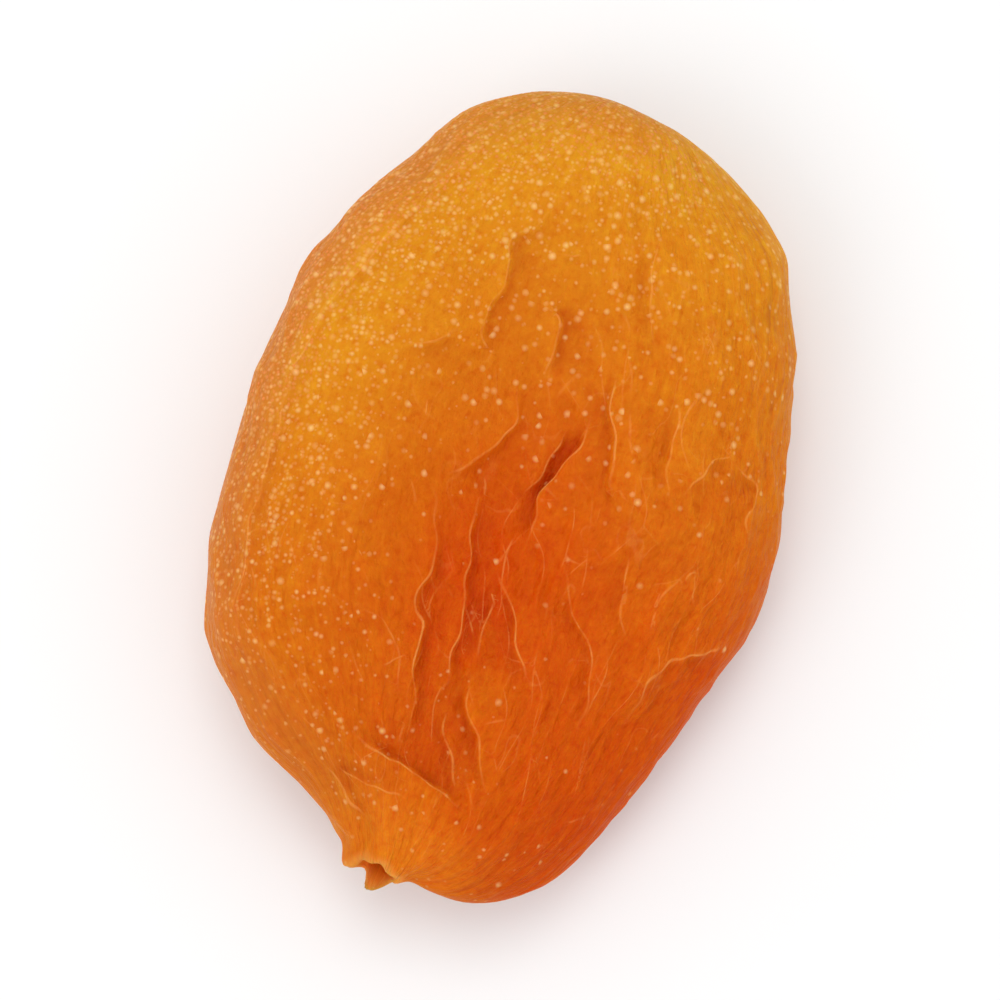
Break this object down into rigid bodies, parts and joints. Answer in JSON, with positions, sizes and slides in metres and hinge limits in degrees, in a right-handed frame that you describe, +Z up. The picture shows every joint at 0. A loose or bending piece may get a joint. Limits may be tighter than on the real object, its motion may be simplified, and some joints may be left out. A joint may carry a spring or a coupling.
{
  "type": "dried apricot",
  "caption": "Whole dried apricot without its stone, flat and oval, with a sunken, folded and wrinkled face and a torn stem end, lying on its broad side.",
  "frame": {"origin": "middle of the footprint's bounding box, on the surface the fruit rests on", "axes": "+Z up, away from the surface; +Y along the fruit's length towards the crown, -Y towards the torn stem end; +X across its width"},
  "size_m": [0.0282, 0.0422, 0.0117],
  "materials": {
    "apricot_skin": "satin, slightly translucent dried fruit skin, orange, paler towards the crown, with fine pale pores"
  },
  "bodies": {
    "root": {"apricot": "apricot_skin"}
  },
  "joints": []
}
